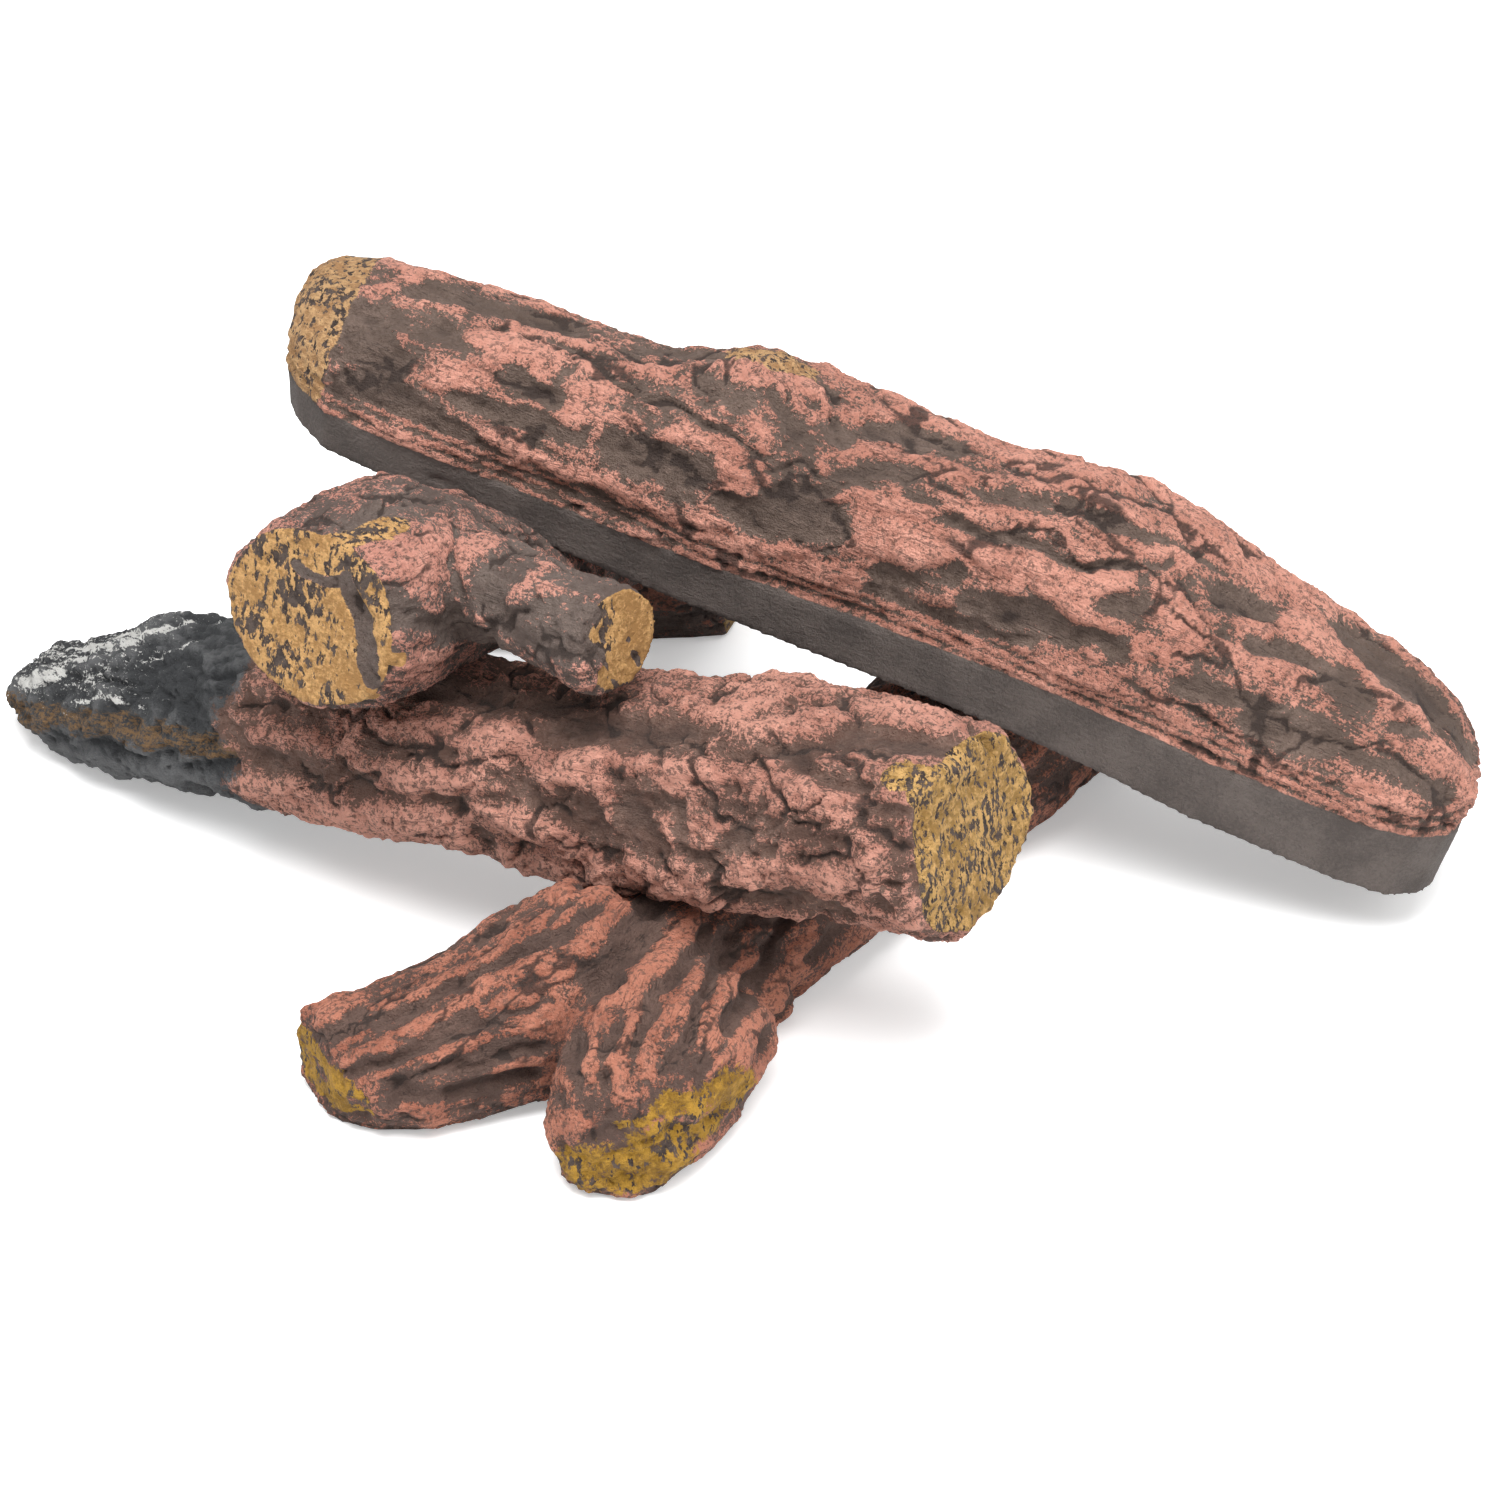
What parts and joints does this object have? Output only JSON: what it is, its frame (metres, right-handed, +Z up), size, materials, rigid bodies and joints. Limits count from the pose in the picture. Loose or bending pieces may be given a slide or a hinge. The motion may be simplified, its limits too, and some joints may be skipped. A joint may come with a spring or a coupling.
{
  "type": "gas log set",
  "caption": "Stack of loose painted ceramic logs, with a forked one at the base and a long one across the top, that hides a gas burner in a fireplace",
  "frame": {"origin": "on the floor, under the middle of the whole stack's box", "axes": "+X to the right as seen from the front and along the stack's longest extent, +Y to the back, +Z up"},
  "size_m": [0.598, 0.4492, 0.2149],
  "materials": {
    "grooved_bark": "matte paint, terracotta ridges over charcoal grooves",
    "dark_bark": "matte paint, dark red brown",
    "pitted_bark": "matte paint, pink bark, charred tip and ochre cut end",
    "branch_bark": "matte paint, charcoal bark and ochre cut ends",
    "ridged_bark": "matte paint, pink ridges over charcoal"
  },
  "bodies": {
    "base": {"fork_log": "grooved_bark", "rear_log": "dark_bark"},
    "front": {"front_log": "pitted_bark"},
    "branch": {"branch_log": "branch_bark"},
    "back": {"back_log": "ridged_bark"}
  },
  "joints": [
    {"name": "front_log_lift", "type": "slide", "parent": "base", "child": "front", "axis": [0, 0, 1], "range_m": [0, 0.08]},
    {"name": "branch_log_lift", "type": "slide", "parent": "front", "child": "branch", "axis": [0, 0, 1], "range_m": [0, 0.1]},
    {"name": "back_log_lift", "type": "slide", "parent": "branch", "child": "back", "axis": [0, 0, 1], "range_m": [0, 0.16]}
  ]
}
